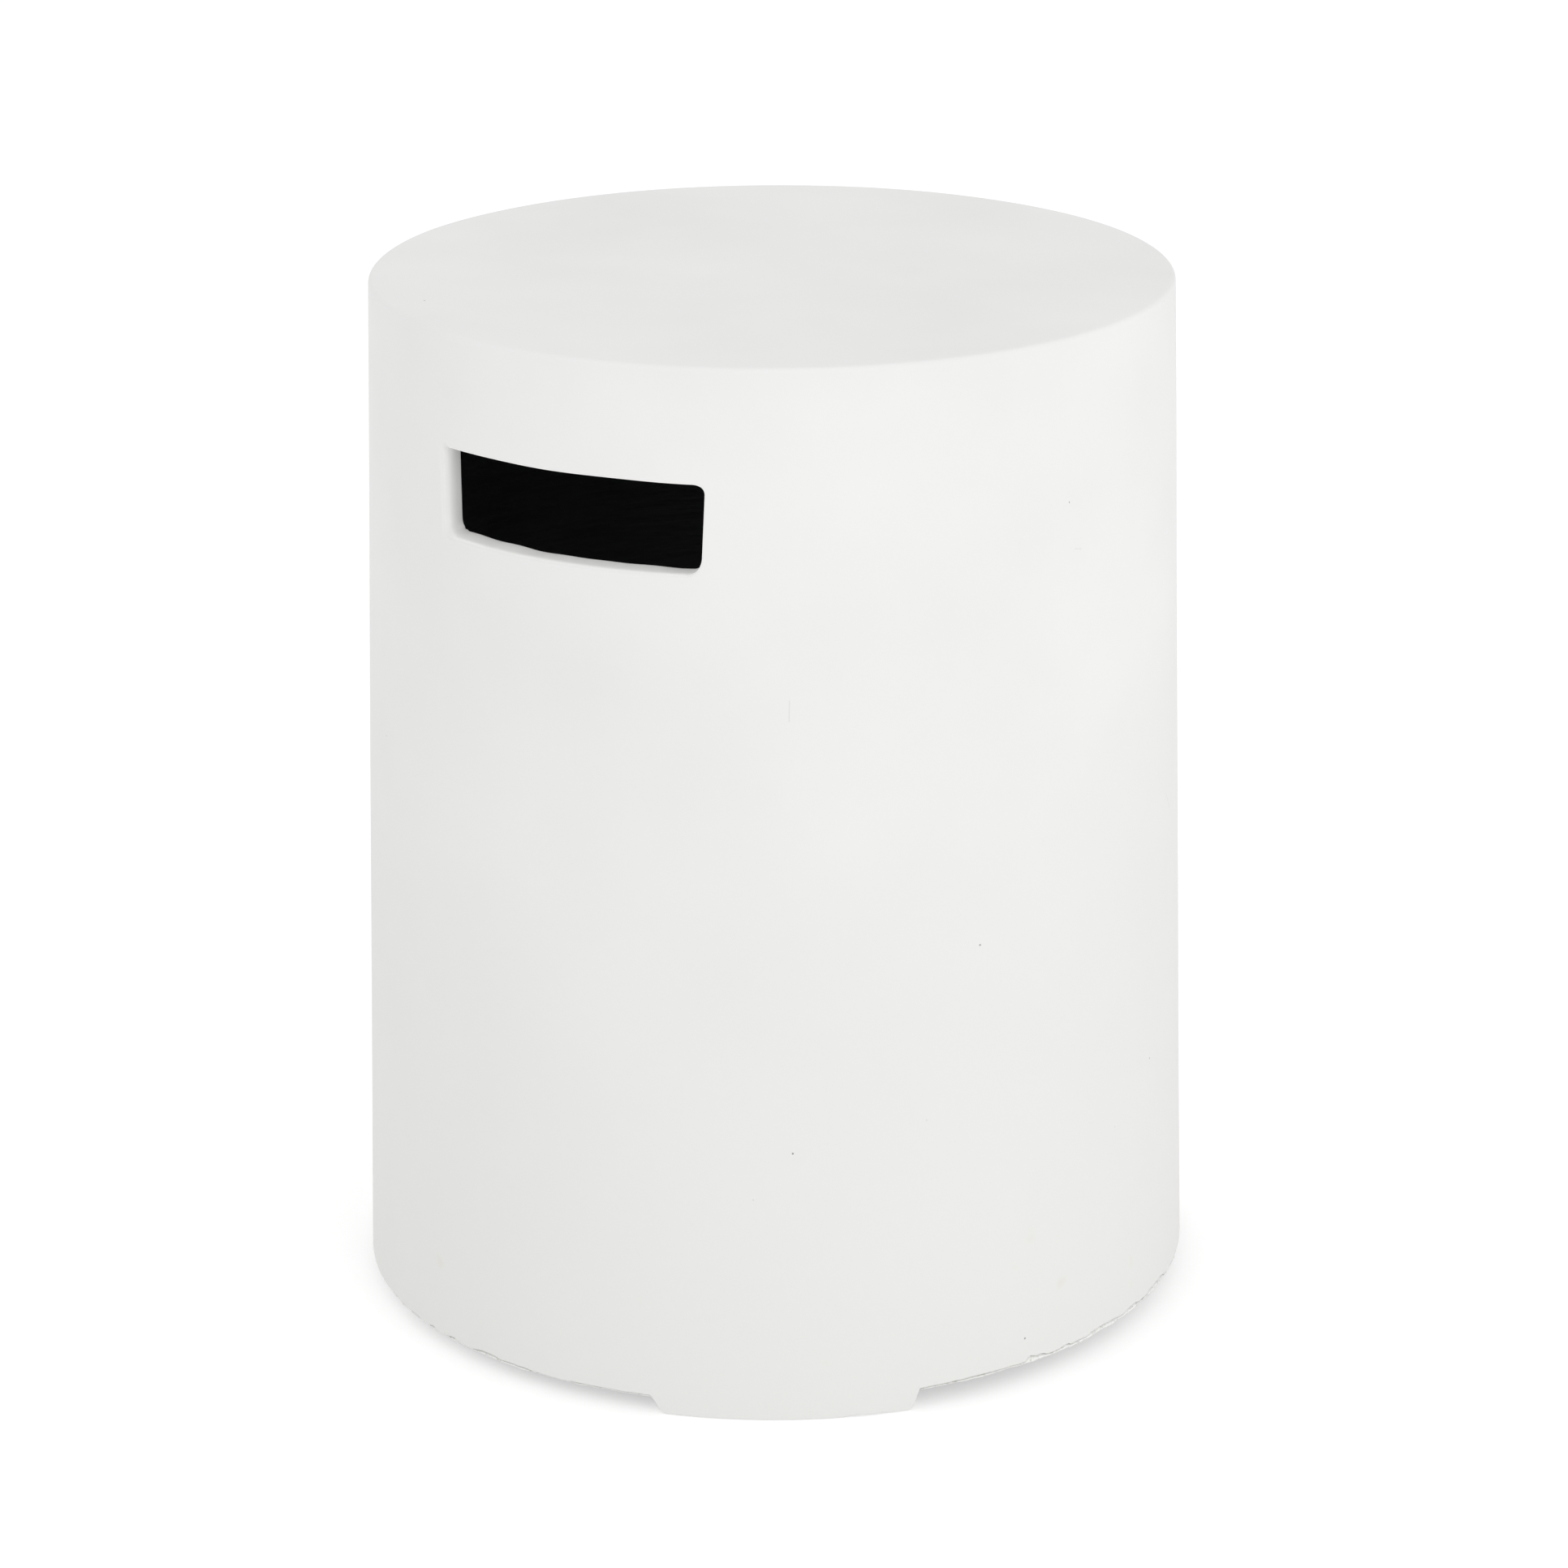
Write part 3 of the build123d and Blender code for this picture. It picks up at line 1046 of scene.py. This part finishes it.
def build_floor():
    """A wide level floor, a hair below the feet, that runs out past the top of the view."""
    side = np.linspace(-FLOOR_REACH, FLOOR_REACH, FLOOR_STEPS)
    x, y = np.meshgrid(side, side, indexing="ij")
    points = np.stack([x, y, np.full_like(x, -FLOOR_DROP)], -1).reshape(-1, 3)
    n = np.arange(FLOOR_STEPS**2).reshape(FLOOR_STEPS, FLOOR_STEPS)
    faces = np.stack([n[:-1, :-1], n[1:, :-1], n[1:, 1:], n[:-1, 1:]], -1).reshape(-1, 4)
    floor = make_mesh("studio_floor", points / MM, faces.tolist())
    floor.data.materials.append(opal_floor())


def aim(thing, place, target):
    """Puts a light at a place and turns it to face a target."""
    thing.location = place
    thing.rotation_euler = (Vector(target) - Vector(place)).to_track_quat("-Z", "Y").to_euler()


def area_light(name, place, power):
    """A soft square light, turned to the drum's middle."""
    data = bpy.data.lights.new(name, "AREA")
    data.shape, data.size, data.energy = "SQUARE", LIGHT_SIZE, power
    light = bpy.data.objects.new(name, data)
    bpy.context.scene.collection.objects.link(light)
    aim(light, place, LIGHT_TARGET)


def around(turn, distance, height):
    """A place at a turn from the front, where a turn of 0 is straight out along -Y."""
    return (distance * math.sin(turn), -distance * math.cos(turn), height)


def build_camera():
    """Camera a little above the drum, 30 degrees to the right of its front slot."""
    data = bpy.data.cameras.new("camera")
    data.sensor_width, data.lens = SENSOR_WIDTH, CAMERA_LENS
    camera = bpy.data.objects.new("camera", data)
    bpy.context.scene.collection.objects.link(camera)
    camera.location = around(CAMERA_TURN, CAMERA_DISTANCE, CAMERA_HEIGHT)
    turn = Euler((0, 0, CAMERA_ROLL)).to_matrix()
    tilt = Euler((math.pi / 2 - CAMERA_PITCH, 0, CAMERA_TURN - CAMERA_YAW)).to_matrix()
    camera.rotation_euler = (tilt @ turn).to_euler()
    bpy.context.scene.camera = camera


def build_lights():
    """Three soft lights, the strongest to the camera's right, and even white air all round."""
    for name, turn, distance, height, power in LIGHTS:
        area_light(name, around(CAMERA_TURN + math.radians(turn), distance, height), power)
    world = bpy.data.worlds.new("studio_air")
    world.use_nodes = True
    tree = world.node_tree
    feed(tree, tree.nodes["Background"], {"Color": srgb("#FFFFFF"), "Strength": 1.0})
    bpy.context.scene.world = world
    bpy.context.scene.view_settings.view_transform = "Standard"


build_casting()
build_floor()
build_camera()
build_lights()
